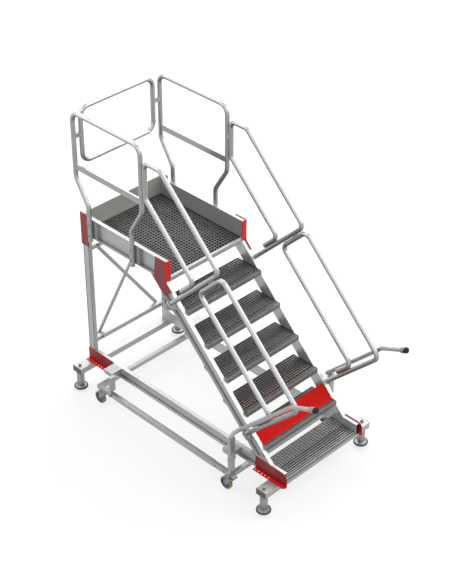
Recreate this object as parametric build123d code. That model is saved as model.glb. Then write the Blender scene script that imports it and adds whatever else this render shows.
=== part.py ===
from build123d import *
import math
import os

# A wheeled stair with a railed platform, in millimetres.
# X runs across the stair, Y in the climbing direction and Z up.
# It is drawn with Y = 0 at the front feet and Z = 0 under the levelling feet.
# At the end it moves so that the origin lies on the floor below the middle of the whole.

# Stair and platform
STAIR_ANGLE = 45.0
STEP_RISE = 212.0
TREAD_COUNT = 5
STAIR_WIDTH = 800.0
DECK_TOP = 1509.0
DECK_FRONT = 1197.0
DECK_THICKNESS = 30.0
DECK_MESH = 30.0
DECK_BAR = 3.0
DECK_CARRIER_SPACING = 200.0
NOSING_DEPTH = 20.0
EDGE_ROUND = 6.0
TREAD_DEPTH = 265.0
TREAD_LIP = 42.0
TREAD_BAR_HEIGHT = 30.0
STEP_NOSE_DEPTH = 45.0
STEP_SHEET = 3.0
STEP_BAR_PITCH = 22.0
BOTTOM_STEP_RISE = 41.0
BOTTOM_STEP_FRONT = -75.0
BOTTOM_STEP_DEPTH = 262.0
BOTTOM_STEP_LIP = 28.0
BOTTOM_BAR_HEIGHT = 24.0
BLOCKER_SHEET = 3.0
BLOCKER_FRONT = 60.0
BLOCKER_FOOT = 26.0
BLOCKER_RISE = 64.0
BLOCKER_CAP = 38.0

# Side frames
CHANNEL_DEPTH = 110.0
CHANNEL_FLANGE = 33.0
CHANNEL_WALL = 4.0
NOSE_PROUD = 33.0
RAIL_FRONT = -80.0
RAIL_BEHIND_FEET = 20.0
POST_DEPTH = 70.0
POST_WALL = 3.0
PANEL_HEIGHT = 177.0
PANEL_BELOW_DECK = 24.0
TOE_BOARD_ABOVE_PANEL = 20.0
TOE_BOARD_SHEET = 4.0
TOE_BOARD_INSET = 21.0
TOE_BOARD_FOLD = 16.0
TIE_HEIGHT = 40.0
TIE_DEPTH = 40.0
TIE_WALL = 3.0
TIE_ABOVE_BEAM = 180.0
TIE_BELOW_PANEL = 165.0
BRACE_WIDTH = 30.0
BRACE_THICKNESS = 12.0
BRACE_INSET = 70.0

# Feet
BEAM_SPACING = 2168.0
BEAM_OVERHANG = 167.0
BEAM_DEPTH = 100.0
BEAM_HEIGHT = 54.0
BEAM_WALL = 4.0
BEAM_CAP = 4.0
BEAM_CAP_PLUG = 20.0
LEG_HEIGHT = 161.0
LEG_SIDE = 45.0
LEG_WALL = 4.0
LEG_ABOVE_FLOOR = 24.0
FOOT_INSET = 31.0
FOOT_RADIUS = 60.0
FOOT_PAD = 10.0
FOOT_DISC_RADIUS = 52.0
FOOT_CONE_HEIGHT = 10.0
FOOT_COLLAR_RADIUS = 21.0
SPINDLE_RADIUS = 9.0
SPINDLE_ABOVE_BEAM = 21.0
SPINDLE_NUT_RADIUS = 16.0
SPINDLE_NUT_HEIGHT = 8.0
FOOT_CLEARANCE = 28.0

# Guardrails and gate
TUBE_RADIUS = 20.0
SEAT_GAP = 0.3
GUARD_HEIGHT = 1075.0
GUARD_BEHIND_RAIL = 9.0
GUARD_BEHIND_NOSING = 230.0
GUARD_FOOT_INSET = 126.0
GUARD_FOOT_BEHIND_NOSING = 363.0
GUARD_FOOT_BELOW_PANEL = 15.0
GUARD_BEND = 75.0
JOGGLE_TOP = 501.0
JOGGLE_BOTTOM = 281.0
JOGGLE_BEND = 110.0
KNEE_TOP = 626.0
KNEE_HEIGHT = 52.0
KNEE_THICKNESS = 14.0
GATE_INSET = 25.0
GATE_BOTTOM = 604.0
GATE_BEND = 80.0
GUARD_PAD_LENGTH = 106.0

# Handrails, measured along the stringer's front edge and square out from it
HANDRAIL_NEAR = 357.0
HANDRAIL_FAR = 700.0
HANDRAIL_END = 164.0
HANDRAIL_SEAT = -30.0
HANDRAIL_BEND = 55.0
LOWER_LOOP_START = 395.0
UPPER_LOOP_START = 1548.0
LOOP_SPACING = 43.0
LOOP_TOP_RUN = 169.28
WELDED_PITCH = 37.0
PAD_THICKNESS = 6.0
PAD_WIDTH = 42.0
PAD_TAPER = 12.0
RAIL_CLAMP_HEIGHT = 40.0
RAIL_CLAMP_THICKNESS = 26.0
GATE_CLAMP_BELOW_GUARD = 214.0
GUARD_CLAMP_ABOVE_JOGGLE = 320.0
LOOP_CLAMP_INSET = 140.0

# Red plates
PLATE = 5.0
FLANGE_REACH = 38.0
FLANGE_CORNER = 25.0
FLANGE_HOLE_RADIUS = 6.5
FLANGE_HOLE_INSET = 17.0
FLANGE_HOLE_PITCH = 35.0
FLANGE_HOLES = 5
BRACKET_ABOVE_RAIL = 10.0
FRONT_BRACKET_PROUD = 32.0
FRONT_BRACKET_LENGTH = 332.0
FRONT_BRACKET_CORNER = 50.0
FRONT_HOLES_FROM = 176.0
REAR_BRACKET_PROUD = 7.0
REAR_BRACKET_LENGTH = 315.0
REAR_BRACKET_CORNER = 12.0
REAR_FLANGE_FROM = 38.0
REAR_HOLES_FROM = 73.0
REAR_GUSSET_LENGTH = 90.0
REAR_GUSSET_PROUD = 12.0
REAR_GUSSET_DROP = 105.0
REAR_GUSSET_RISE = 22.0
FRONT_GUSSET_RISE = 6.0
FRONT_GUSSET_TOP = 121.0
FRONT_GUSSET_BASE = 141.0
FRONT_GUSSET_STEP = 20.0
FRONT_GUSSET_PROUD = 12.0
FRONT_GUSSET_FLANGE = 48.0
FRONT_GUSSET_FLANGE_GAP = 3.0
# Corners on the stringer: along it from where it meets the panel, and out from its front edge
FRONT_GUSSET_CORNERS = ((40.0, -88.0), (-27.0, -102.0), (-97.0, -78.0), (-114.0, FRONT_GUSSET_PROUD))

# Chassis, castors and levers
CASTOR_HEIGHT = 146.0
WHEEL_RADIUS = 56.0
WHEEL_WIDTH = 30.0
TYRE_DEPTH = 10.0
TYRE_SHOULDER = 5.0
RIM_WALL = 6.0
RIM_INSET = 2.0
AXLE_RADIUS = 6.0
AXLE_END = 4.0
HUB_RADIUS = 15.0
WEB_THICKNESS = 12.0
TRAIL = 52.0
STEM_FRONT = 353.0
STEM_REAR_INSET = 311.0
FORK_SHEET = 4.0
FORK_GAP = 3.5
FORK_HALF_LENGTH = 27.0
FORK_BOSS = 15.0
CASTOR_PLATE = 6.0
CASTOR_PLATE_LENGTH = 84.0
CASTOR_PLATE_WIDTH = 66.0
CASTOR_PLATE_CORNER = 8.0
RACE_RADIUS = 24.0
RACE_HEIGHT = 8.0
BAR_OFFSET = 137.0
BAR_WIDTH = 35.0
BAR_HEIGHT = 40.0
BAR_FRONT = 312.0
CROSSBAR_FRONT = 334.0
CROSSBAR_REAR_INSET = 275.0
SLEEVE_BEHIND_PIVOT = 188.0
SLEEVE_BEFORE_PIVOT = 74.0
SLEEVE_WALL = 1.5
PIVOT_DROP = 20.0
PIVOT_FRONT = 352.0
PIVOT_REAR_INSET = 413.0
OVER_CENTRE = 5.0
LINK_WIDTH = 50.0
LINK_DEPTH = 30.0
LINK_CHEEK = 6.5
LINK_ABOVE_PIVOT = 19.0
CHEEK_GAP = 1.0
LINK_SWING_ROOM = 48.0
LINK_END_RADIUS = 17.0
PIN_RADIUS = 8.0
PIN_CLEARANCE = 0.3
PIN_HEAD_RADIUS = 13.0
PIN_HEAD = 7.0
BRACKET_HEIGHT = 41.0
BRACKET_LENGTH = 100.0
BRACKET_BEHIND_PIVOT = 23.0
LUG_THICKNESS = 12.0
LEVER_TUBE_RADIUS = 17.0
LEVER_OFFSET = 70.0
LEVER_ELBOW_Z = 547.0
LEVER_BEND = 33.0
LEVER_KNEE_Y = -201.0
LEVER_KNEE_BEND = 90.0
LEVER_END_Y = -436.0
LEVER_END_ANGLE = 24.0
GRIP_RADIUS = 24.0
GRIP_LENGTH = 66.0
GRIP_END = 6.0
GRIP_ROUND = 9.0

# Worked out from the sizes above
SLOPE = math.radians(STAIR_ANGLE)
ALONG = (math.cos(SLOPE), math.sin(SLOPE))
STEP_RUN = STEP_RISE / math.tan(SLOPE)
INNER = STAIR_WIDTH / 2
OUTER = INNER + CHANNEL_FLANGE
BASE_TOP = LEG_HEIGHT + BEAM_HEIGHT
RAIL_TOP = BASE_TOP + CHANNEL_DEPTH
RAIL_REAR = BEAM_SPACING + RAIL_BEHIND_FEET
PANEL_BOTTOM = DECK_TOP - PANEL_BELOW_DECK
PANEL_TOP = PANEL_BOTTOM + PANEL_HEIGHT
NOSE_LINE = DECK_TOP - DECK_FRONT * math.tan(SLOPE)
SLOPE_BASE = NOSE_LINE - NOSE_PROUD / math.cos(SLOPE)
TIE_BOTTOM = BASE_TOP + TIE_ABOVE_BEAM
TIE_TOP = PANEL_BOTTOM - TIE_BELOW_PANEL
BEAM_HALF = OUTER + BEAM_OVERHANG
FOOT_X = BEAM_HALF - FOOT_INSET
RAIL_X = OUTER + TUBE_RADIUS + SEAT_GAP
GUARD_TOP = DECK_TOP + GUARD_HEIGHT
GUARD_REAR = RAIL_REAR + GUARD_BEHIND_RAIL
GUARD_FRONT = DECK_FRONT + GUARD_BEHIND_NOSING
GUARD_FOOT_REAR = RAIL_REAR - GUARD_FOOT_INSET
GUARD_FOOT_FRONT = DECK_FRONT + GUARD_FOOT_BEHIND_NOSING
GATE_HALF = INNER - GATE_INSET
LOWER_LOOP_TOP = UPPER_LOOP_START - LOOP_SPACING
UPPER_LOOP_TOP_Y = GUARD_FRONT - LOOP_SPACING
UPPER_LOOP_CORNER = SLOPE_BASE + HANDRAIL_FAR / math.cos(SLOPE) + UPPER_LOOP_TOP_Y * math.tan(SLOPE)
UPPER_LOOP_PEAK = UPPER_LOOP_CORNER - LOOP_TOP_RUN * math.tan(SLOPE)
BAR_X = OUTER + BAR_OFFSET
BAR_BOTTOM = CASTOR_HEIGHT - FOOT_CLEARANCE
BAR_AXIS = BAR_BOTTOM + BAR_HEIGHT / 2
STEM_REAR = BEAM_SPACING - STEM_REAR_INSET
CROSSBAR_REAR = BEAM_SPACING - CROSSBAR_REAR_INSET
PIVOT_REAR = BEAM_SPACING - PIVOT_REAR_INSET
PIVOT_Z = RAIL_TOP - PIVOT_DROP
LINK_INNER = BAR_X - LINK_WIDTH / 2
LINK_OUTER = BAR_X + LINK_WIDTH / 2
LEVER_X = OUTER + LEVER_OFFSET
AXLE_Z = WHEEL_RADIUS - FOOT_CLEARANCE
CROWN_TOP = BAR_BOTTOM - CASTOR_PLATE - RACE_HEIGHT - SEAT_GAP
SIDES = {"left": -1, "right": 1}
ENDS = {"front": 0.0, "rear": BEAM_SPACING}


def block(x, y, z):
    """A box between pairs of limits on each axis."""
    size = (x[1] - x[0], y[1] - y[0], z[1] - z[0])
    centre = (sum(x) / 2, sum(y) / 2, sum(z) / 2)
    return Pos(*centre) * Box(*size)


def side_plate(points, x):
    """An outline of (Y, Z) points, thickened between two limits in X."""
    outline = Plane.YZ.offset(x[0]) * Polygon(*points, align=None)
    return extrude(outline, amount=x[1] - x[0], dir=(1, 0, 0))


def cross_rod(radius, x, y, z):
    """A round bar along X between two limits."""
    return Pos((x[0] + x[1]) / 2, y, z) * Rot(0, 90, 0) * Cylinder(radius, x[1] - x[0])


def upright_rod(radius, x, y, z):
    """A round bar along Z between two limits."""
    return Pos(x, y, (z[0] + z[1]) / 2) * Cylinder(radius, z[1] - z[0])


def tube(points, radius, bends, closed=False):
    """A round tube along straight runs that are joined by arcs."""
    path = FilletPolyline(*points, radius=bends, close=closed)
    start = Plane(origin=path @ 0, z_dir=path % 0)
    return sweep(start * Circle(radius), path=path)


def on_slope(along, out):
    """Y and Z of a point along the stringer's front edge, and out from it."""
    y = along * ALONG[0] - out * ALONG[1]
    z = SLOPE_BASE + along * ALONG[1] + out * ALONG[0]
    return y, z


def on_slope_at(out, z):
    """Y and Z where a line parallel to the stringer crosses a height."""
    along = (z - SLOPE_BASE - out * ALONG[0]) / ALONG[1]
    return on_slope(along, out)


def mirrored(part, side):
    """The part itself on the right, and its mirror image on the left."""
    return part if SIDES[side] > 0 else mirror(part, about=Plane.YZ)


def both_sides(*shapes):
    """Pieces on the right, each with its mirror image on the left."""
    return Compound([half for shape in shapes for half in (shape, mirror(shape, about=Plane.YZ))])


def rounded(part, axis, place, radius):
    """The part with the edge along an axis that lies nearest to a place rounded."""
    edge = part.edges().filter_by(axis).sort_by_distance(place)[0]
    return fillet(edge, radius)


def foot_beam(y):
    """A box tube across the stair, with holes for the two foot spindles."""
    depth = (y - BEAM_DEPTH / 2, y + BEAM_DEPTH / 2)
    beam = block((-BEAM_HALF, BEAM_HALF), depth, (LEG_HEIGHT, BASE_TOP))
    inner = (depth[0] + BEAM_WALL, depth[1] - BEAM_WALL)
    height = (LEG_HEIGHT + BEAM_WALL, BASE_TOP - BEAM_WALL)
    beam -= block((-BEAM_HALF, BEAM_HALF), inner, height)
    for side in SIDES.values():
        beam -= upright_rod(SPINDLE_RADIUS + SEAT_GAP, side * FOOT_X, y, (0, BASE_TOP + 1))
    return beam


def beam_end_caps():
    """Plugged covers on the four open ends of the foot beams."""
    caps = []
    room = BEAM_WALL + SEAT_GAP
    for y in ENDS.values():
        depth = (y - BEAM_DEPTH / 2, y + BEAM_DEPTH / 2)
        cover = block((BEAM_HALF, BEAM_HALF + BEAM_CAP), depth, (LEG_HEIGHT, BASE_TOP))
        inside = (depth[0] + room, depth[1] - room)
        height = (LEG_HEIGHT + room, BASE_TOP - room)
        caps.append(cover + block((BEAM_HALF - BEAM_CAP_PLUG, BEAM_HALF), inside, height))
    return both_sides(*caps)


def levelling_feet():
    """Round pads on threaded spindles, each through a square leg under a beam."""
    solids = []
    for y in ENDS.values():
        for side in SIDES.values():
            x = side * FOOT_X
            half = LEG_SIDE / 2
            hole = half - LEG_WALL
            leg = block((x - half, x + half), (y - half, y + half), (LEG_ABOVE_FLOOR, LEG_HEIGHT))
            leg -= block((x - hole, x + hole), (y - hole, y + hole), (0, LEG_HEIGHT - LEG_WALL))
            leg -= upright_rod(SPINDLE_RADIUS + SEAT_GAP, x, y, (0, LEG_HEIGHT))
            top = BASE_TOP + SPINDLE_ABOVE_BEAM
            foot = upright_rod(FOOT_RADIUS, x, y, (0, FOOT_PAD))
            cone = Cone(FOOT_DISC_RADIUS, FOOT_COLLAR_RADIUS, FOOT_CONE_HEIGHT)
            foot += Pos(x, y, FOOT_PAD + FOOT_CONE_HEIGHT / 2) * cone
            foot += upright_rod(SPINDLE_RADIUS, x, y, (FOOT_PAD, top))
            nut = RegularPolygon(SPINDLE_NUT_RADIUS, 6)
            foot += extrude(Pos(x, y, BASE_TOP) * nut, SPINDLE_NUT_HEIGHT)
            solids += [leg, foot]
    return Compound(solids)


def base_rail():
    """The channel along the foot of one side, open on its outer side."""
    span = (RAIL_FRONT, RAIL_REAR)
    rail = block((INNER, OUTER), span, (BASE_TOP, RAIL_TOP))
    inside = (BASE_TOP + CHANNEL_WALL, RAIL_TOP - CHANNEL_WALL)
    return rail - block((INNER + CHANNEL_WALL, OUTER), span, inside)


def stringer():
    """The sloping channel from the base rail to the platform's side panel."""
    def outline(front, back, low, high):
        return [on_slope_at(front, low), on_slope_at(front, high),
                on_slope_at(back, high), on_slope_at(back, low)]
    channel = side_plate(outline(0, -CHANNEL_DEPTH, RAIL_TOP, PANEL_BOTTOM), (INNER, OUTER))
    past_end = CHANNEL_DEPTH / 2
    room = outline(-CHANNEL_WALL, CHANNEL_WALL - CHANNEL_DEPTH, RAIL_TOP - past_end, PANEL_BOTTOM + past_end)
    return channel - side_plate(room, (INNER + CHANNEL_WALL, OUTER))


def rear_post():
    """A box tube from the base rail up to the side panel."""
    span = (RAIL_REAR - POST_DEPTH, RAIL_REAR)
    height = (RAIL_TOP, PANEL_BOTTOM)
    post = block((INNER, OUTER), span, height)
    inside = (span[0] + POST_WALL, span[1] - POST_WALL)
    return post - block((INNER + POST_WALL, OUTER - POST_WALL), inside, height)


def side_panel():
    """The deep channel beside the deck, open on its outer side."""
    span = (DECK_FRONT, RAIL_REAR)
    panel = block((INNER, OUTER), span, (PANEL_BOTTOM, PANEL_TOP))
    inside = (PANEL_BOTTOM + CHANNEL_WALL, PANEL_TOP - CHANNEL_WALL)
    return panel - block((INNER + CHANNEL_WALL, OUTER), span, inside)


def grated_step(front, top, depth, lip, bar_height):
    """An open step: a folded nose and upright bars along X between two end plates."""
    nose = front + STEP_NOSE_DEPTH
    step = block((-INNER, INNER), (front, nose), (top - lip, top))
    step -= block((-INNER, INNER), (front + STEP_SHEET, nose - STEP_SHEET), (top - lip, top - STEP_SHEET))
    height = (top - bar_height, top)
    bars = round((depth - STEP_NOSE_DEPTH) / STEP_BAR_PITCH)
    pitch = (depth - STEP_NOSE_DEPTH) / bars
    for number in range(1, bars + 1):
        rear = nose + number * pitch
        step += block((-INNER, INNER), (rear - STEP_SHEET, rear), height)
    for ends in ((-INNER, -INNER + STEP_SHEET), (INNER - STEP_SHEET, INNER)):
        step += block(ends, (front, front + depth), height)
        step += block(ends, (front, nose), (top - lip, top))
    return rounded(step, Axis.X, (0, front, top), EDGE_ROUND)


def tread(number):
    """One step, counted from the top."""
    front = DECK_FRONT - number * STEP_RUN
    return grated_step(front, DECK_TOP - number * STEP_RISE, TREAD_DEPTH, TREAD_LIP, TREAD_BAR_HEIGHT)


def bottom_step():
    """The lowest step, between the base rails and above the front foot beam."""
    top = BASE_TOP + BOTTOM_STEP_RISE
    return grated_step(BOTTOM_STEP_FRONT, top, BOTTOM_STEP_DEPTH, BOTTOM_STEP_LIP, BOTTOM_BAR_HEIGHT)


def platform_nosing():
    """The front edge of the deck, a folded section with rounded corners."""
    span = (DECK_FRONT, DECK_FRONT + NOSING_DEPTH)
    bar = block((-INNER, INNER), span, (DECK_TOP - TREAD_LIP, DECK_TOP))
    for z in (DECK_TOP, DECK_TOP - TREAD_LIP):
        bar = rounded(bar, Axis.X, (0, DECK_FRONT, z), EDGE_ROUND)
    return bar


def platform_deck():
    """Open bar grating between the side panels, from the nosing to the toe board."""
    front = DECK_FRONT + NOSING_DEPTH
    rear = RAIL_REAR - TOE_BOARD_INSET - TOE_BOARD_SHEET
    rows = round((rear - front) / DECK_MESH)
    columns = round(STAIR_WIDTH / DECK_CARRIER_SPACING)
    pitch = ((STAIR_WIDTH - DECK_BAR) / columns, (rear - front - DECK_BAR) / rows)
    sheet = Rectangle(STAIR_WIDTH, rear - front)
    sheet -= GridLocations(*pitch, columns, rows) * Rectangle(pitch[0] - DECK_BAR, pitch[1] - DECK_BAR)
    return extrude(Pos(0, (front + rear) / 2, DECK_TOP) * sheet, amount=-DECK_THICKNESS)


def rear_toe_board():
    """A folded sheet that closes the rear edge of the deck."""
    rear = RAIL_REAR - TOE_BOARD_INSET
    top = PANEL_TOP + TOE_BOARD_ABOVE_PANEL
    height = (PANEL_BOTTOM, top)
    board = block((-INNER, INNER), (rear - TOE_BOARD_SHEET, rear), height)
    fold = (top - TOE_BOARD_SHEET, top)
    return board + block((-INNER, INNER), (rear, rear + TOE_BOARD_FOLD), fold)


def step_blocker():
    """A folded sheet that stands on the lowest stepping tread."""
    front = DECK_FRONT - TREAD_COUNT * STEP_RUN + BLOCKER_FRONT
    floor = DECK_TOP - TREAD_COUNT * STEP_RISE
    level = floor + BLOCKER_SHEET / 2
    points = [(front - BLOCKER_FOOT, level), (front, level),
              (front + BLOCKER_RISE, level + BLOCKER_RISE),
              (front + BLOCKER_RISE + BLOCKER_CAP, level + BLOCKER_RISE + BLOCKER_CAP / 2)]
    profile = trace(Polyline(*points), BLOCKER_SHEET)
    return Plane.YZ.offset(-INNER) * extrude(profile, 2 * INNER)


def guardrail():
    """A bent tube loop beside the platform, with a flat knee bar."""
    half = KNEE_THICKNESS / 2
    knee = (DECK_TOP + KNEE_TOP - KNEE_HEIGHT, DECK_TOP + KNEE_TOP)
    loop = block((RAIL_X - half, RAIL_X + half), (GUARD_FRONT, GUARD_REAR), knee)
    middle = (GUARD_REAR + GUARD_FRONT) / 2
    for leg, foot in ((GUARD_REAR, GUARD_FOOT_REAR), (GUARD_FRONT, GUARD_FOOT_FRONT)):
        corners = [(middle, GUARD_TOP), (leg, GUARD_TOP), (leg, DECK_TOP + JOGGLE_TOP),
                   (foot, DECK_TOP + JOGGLE_BOTTOM), (foot, PANEL_BOTTOM - GUARD_FOOT_BELOW_PANEL)]
        points = [(RAIL_X, *corner) for corner in corners]
        loop += tube(points, TUBE_RADIUS, [GUARD_BEND, JOGGLE_BEND, JOGGLE_BEND])
    return loop


def rear_gate():
    """A closed tube loop across the rear of the platform."""
    bottom = DECK_TOP + GATE_BOTTOM
    corners = [(-GATE_HALF, bottom), (-GATE_HALF, GUARD_TOP), (GATE_HALF, GUARD_TOP), (GATE_HALF, bottom)]
    points = [(x, GUARD_REAR, z) for x, z in corners]
    return tube(points, TUBE_RADIUS, GATE_BEND, closed=True)


def handrail_lower():
    """The lower loop beside the stair, from its seat on the stringer and back."""
    near_leg = LOWER_LOOP_START + WELDED_PITCH
    corners = [(LOWER_LOOP_START, HANDRAIL_SEAT), (LOWER_LOOP_START, HANDRAIL_FAR),
               (LOWER_LOOP_TOP, HANDRAIL_FAR), (LOWER_LOOP_TOP, HANDRAIL_NEAR),
               (near_leg, HANDRAIL_NEAR), (near_leg, HANDRAIL_END)]
    points = [(RAIL_X, *on_slope(*corner)) for corner in corners]
    return tube(points, TUBE_RADIUS, HANDRAIL_BEND)


def handrail_upper():
    """The upper loop, whose top end stands upright beside the guardrail."""
    near_leg = UPPER_LOOP_START + WELDED_PITCH
    points = [(RAIL_X, *on_slope(UPPER_LOOP_START, HANDRAIL_SEAT)),
              (RAIL_X, *on_slope(UPPER_LOOP_START, HANDRAIL_FAR)),
              (RAIL_X, UPPER_LOOP_TOP_Y - LOOP_TOP_RUN, UPPER_LOOP_PEAK),
              (RAIL_X, UPPER_LOOP_TOP_Y, UPPER_LOOP_PEAK),
              (RAIL_X, UPPER_LOOP_TOP_Y, on_slope_y(HANDRAIL_NEAR, UPPER_LOOP_TOP_Y)),
              (RAIL_X, *on_slope(near_leg, HANDRAIL_NEAR)),
              (RAIL_X, *on_slope(near_leg, HANDRAIL_END))]
    return tube(points, TUBE_RADIUS, HANDRAIL_BEND)


def on_slope_y(out, y):
    """The height where a line parallel to the stringer crosses a Y value."""
    along = (y + out * ALONG[1]) / ALONG[0]
    return on_slope(along, out)[1]


def rail_clamp(spacing):
    """A block from one upright tube's axis to the next one's along Y, hollowed to seat on both."""
    half = RAIL_CLAMP_THICKNESS / 2
    height = (-RAIL_CLAMP_HEIGHT / 2, RAIL_CLAMP_HEIGHT / 2)
    clamp = block((-half, half), (0, spacing), height)
    for y in (0, spacing):
        clamp -= upright_rod(TUBE_RADIUS + SEAT_GAP, 0, y, height)
    return clamp


def rail_clamps():
    """Blocks that hold the gate, and each handrail loop to its neighbour."""
    gate = Rot(0, 0, -90) * rail_clamp(RAIL_X - GATE_HALF)
    gate = Pos(GATE_HALF, GUARD_REAR, GUARD_TOP - GATE_CLAMP_BELOW_GUARD) * gate
    upper = rail_clamp(GUARD_FRONT - UPPER_LOOP_TOP_Y)
    upper = Pos(RAIL_X, UPPER_LOOP_TOP_Y, DECK_TOP + JOGGLE_TOP + GUARD_CLAMP_ABOVE_JOGGLE) * upper
    sloped = Pos(0, LOWER_LOOP_TOP, HANDRAIL_FAR - LOOP_CLAMP_INSET) * rail_clamp(LOOP_SPACING)
    sloped = Pos(RAIL_X, 0, SLOPE_BASE) * Rot(STAIR_ANGLE, 0, 0) * sloped
    return both_sides(gate, upper, sloped)


def guardrail_pads():
    """Box sections inside the side panels, one behind each guardrail leg."""
    pads = []
    height = (PANEL_BOTTOM + CHANNEL_WALL, PANEL_TOP - CHANNEL_WALL)
    for y in (GUARD_FOOT_REAR, GUARD_FOOT_FRONT):
        half = GUARD_PAD_LENGTH / 2
        pad = block((INNER + CHANNEL_WALL, OUTER), (y - half, y + half), height)
        room = (INNER + 2 * CHANNEL_WALL, OUTER - CHANNEL_WALL)
        pads.append(pad - block(room, (y - half + CHANNEL_WALL, y + half - CHANNEL_WALL), height))
    return both_sides(*pads)


def handrail_brackets():
    """Plates on the stringers' outer edges, one beside each handrail post."""
    plates = []
    for start in (LOWER_LOOP_START, UPPER_LOOP_START):
        first = start - TUBE_RADIUS - SEAT_GAP - PAD_WIDTH
        last = start - TUBE_RADIUS - SEAT_GAP
        corners = [(first, 0), (last, 0), (last, -CHANNEL_DEPTH), (first + PAD_TAPER, -CHANNEL_DEPTH)]
        points = [on_slope(*corner) for corner in corners]
        plates.append(side_plate(points, (OUTER, OUTER + PAD_THICKNESS)))
    return both_sides(*plates)


def rear_ties():
    """Box tubes across the rear, between the posts."""
    ties = []
    middle = RAIL_REAR - POST_DEPTH / 2
    span = (middle - TIE_DEPTH / 2, middle + TIE_DEPTH / 2)
    for bottom in (TIE_BOTTOM, TIE_TOP):
        tie = block((-INNER, INNER), span, (bottom, bottom + TIE_HEIGHT))
        inside = (span[0] + TIE_WALL, span[1] - TIE_WALL)
        height = (bottom + TIE_WALL, bottom + TIE_HEIGHT - TIE_WALL)
        ties.append(tie - block((-INNER, INNER), inside, height))
    return Compound(ties)


def rear_brace(number):
    """One flat bar of the crossed pair behind the ties, with rounded ends."""
    lean = 1 if number else -1
    reach = INNER - BRACE_INSET
    rise = TIE_TOP - TIE_BOTTOM
    front = RAIL_REAR - POST_DEPTH / 2 + TIE_DEPTH / 2 + number * BRACE_THICKNESS
    middle = (0, front, (TIE_BOTTOM + TIE_TOP + TIE_HEIGHT) / 2)
    face = Plane(origin=middle, x_dir=(lean * 2 * reach, 0, rise), z_dir=(0, 1, 0))
    bar = SlotCenterToCenter(math.hypot(2 * reach, rise), BRACE_WIDTH)
    return extrude(face * bar, amount=BRACE_THICKNESS)


def rear_upper_gussets():
    """Plates that tie each rear post to its side panel."""
    rear = RAIL_REAR + REAR_GUSSET_PROUD
    height = (PANEL_BOTTOM - REAR_GUSSET_DROP, PANEL_TOP + REAR_GUSSET_RISE)
    return both_sides(block((OUTER, OUTER + PLATE), (rear - REAR_GUSSET_LENGTH, rear), height))


def front_upper_gussets():
    """Plates that tie each stringer to its side panel, folded round the panel's front end."""
    front = DECK_FRONT - PLATE
    top = PANEL_TOP + FRONT_GUSSET_RISE
    joint = (PANEL_BOTTOM - SLOPE_BASE) / ALONG[1]
    points = [(front, top), (front + FRONT_GUSSET_TOP, top),
              (front + FRONT_GUSSET_BASE, PANEL_BOTTOM + FRONT_GUSSET_STEP)]
    points += [on_slope(joint + along, out) for along, out in FRONT_GUSSET_CORNERS]
    points.append((front, on_slope_y(FRONT_GUSSET_PROUD, front)))
    gusset = side_plate(points, (OUTER, OUTER + PLATE))
    fold = (OUTER + PLATE - FRONT_GUSSET_FLANGE, OUTER + PLATE)
    gusset += block(fold, (front, DECK_FRONT), (PANEL_BOTTOM + FRONT_GUSSET_FLANGE_GAP, top))
    return both_sides(gusset)


def lower_brackets(span, corner, flange_front, first_hole):
    """Plates on the base rails, each with a drilled flange that points outwards."""
    top = RAIL_TOP + BRACKET_ABOVE_RAIL
    plate = block((OUTER, OUTER + PLATE), span, (BASE_TOP, top))
    plate = rounded(plate, Axis.X, (OUTER, span[0], top), corner)
    edge = OUTER + FLANGE_REACH
    flange = block((OUTER, edge), (flange_front, span[1]), (BASE_TOP, BASE_TOP + PLATE))
    flange = rounded(flange, Axis.Z, (edge, flange_front, BASE_TOP), FLANGE_CORNER)
    for number in range(FLANGE_HOLES):
        y = first_hole + number * FLANGE_HOLE_PITCH
        depth = (BASE_TOP - 1, BASE_TOP + PLATE + 1)
        flange -= upright_rod(FLANGE_HOLE_RADIUS, edge - FLANGE_HOLE_INSET, y, depth)
    return both_sides(plate + flange)


def front_lower_brackets():
    front = RAIL_FRONT - FRONT_BRACKET_PROUD
    span = (front, front + FRONT_BRACKET_LENGTH)
    return lower_brackets(span, FRONT_BRACKET_CORNER, front, front + FRONT_HOLES_FROM)


def rear_lower_brackets():
    rear = RAIL_REAR + REAR_BRACKET_PROUD
    front = rear - REAR_BRACKET_LENGTH
    span = (front, rear)
    return lower_brackets(span, REAR_BRACKET_CORNER, front + REAR_FLANGE_FROM, front + REAR_HOLES_FROM)


def upper_pin(y):
    """The headed pin on which a lever or a link turns, as part of its bracket."""
    pin = cross_rod(PIN_RADIUS, (LINK_INNER - LUG_THICKNESS, LINK_OUTER + 1), y, PIVOT_Z)
    head = (LINK_OUTER + SEAT_GAP, LINK_OUTER + SEAT_GAP + PIN_HEAD)
    return pin + cross_rod(PIN_HEAD_RADIUS, head, y, PIVOT_Z)


def pivot_brackets():
    """Blocks on the base rails, each with a lug and a pin for a lever or a link."""
    solids = []
    for y in (PIVOT_FRONT, PIVOT_REAR):
        face = LINK_INNER - CHEEK_GAP
        start = y + BRACKET_BEHIND_PIVOT
        top = PIVOT_Z + BRACKET_HEIGHT / 2
        bottom = PIVOT_Z - BRACKET_HEIGHT / 2
        body = block((OUTER, face), (start, start + BRACKET_LENGTH), (bottom, top))
        lug_height = (PIVOT_Z - LINK_DEPTH / 2, PIVOT_Z + LINK_DEPTH / 2)
        lug = block((face - LUG_THICKNESS, face), (y, start), lug_height)
        lug += cross_rod(LINK_DEPTH / 2, (face - LUG_THICKNESS, face), y, PIVOT_Z)
        solids.append(body + lug + upper_pin(y))
    return both_sides(*solids)


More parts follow.
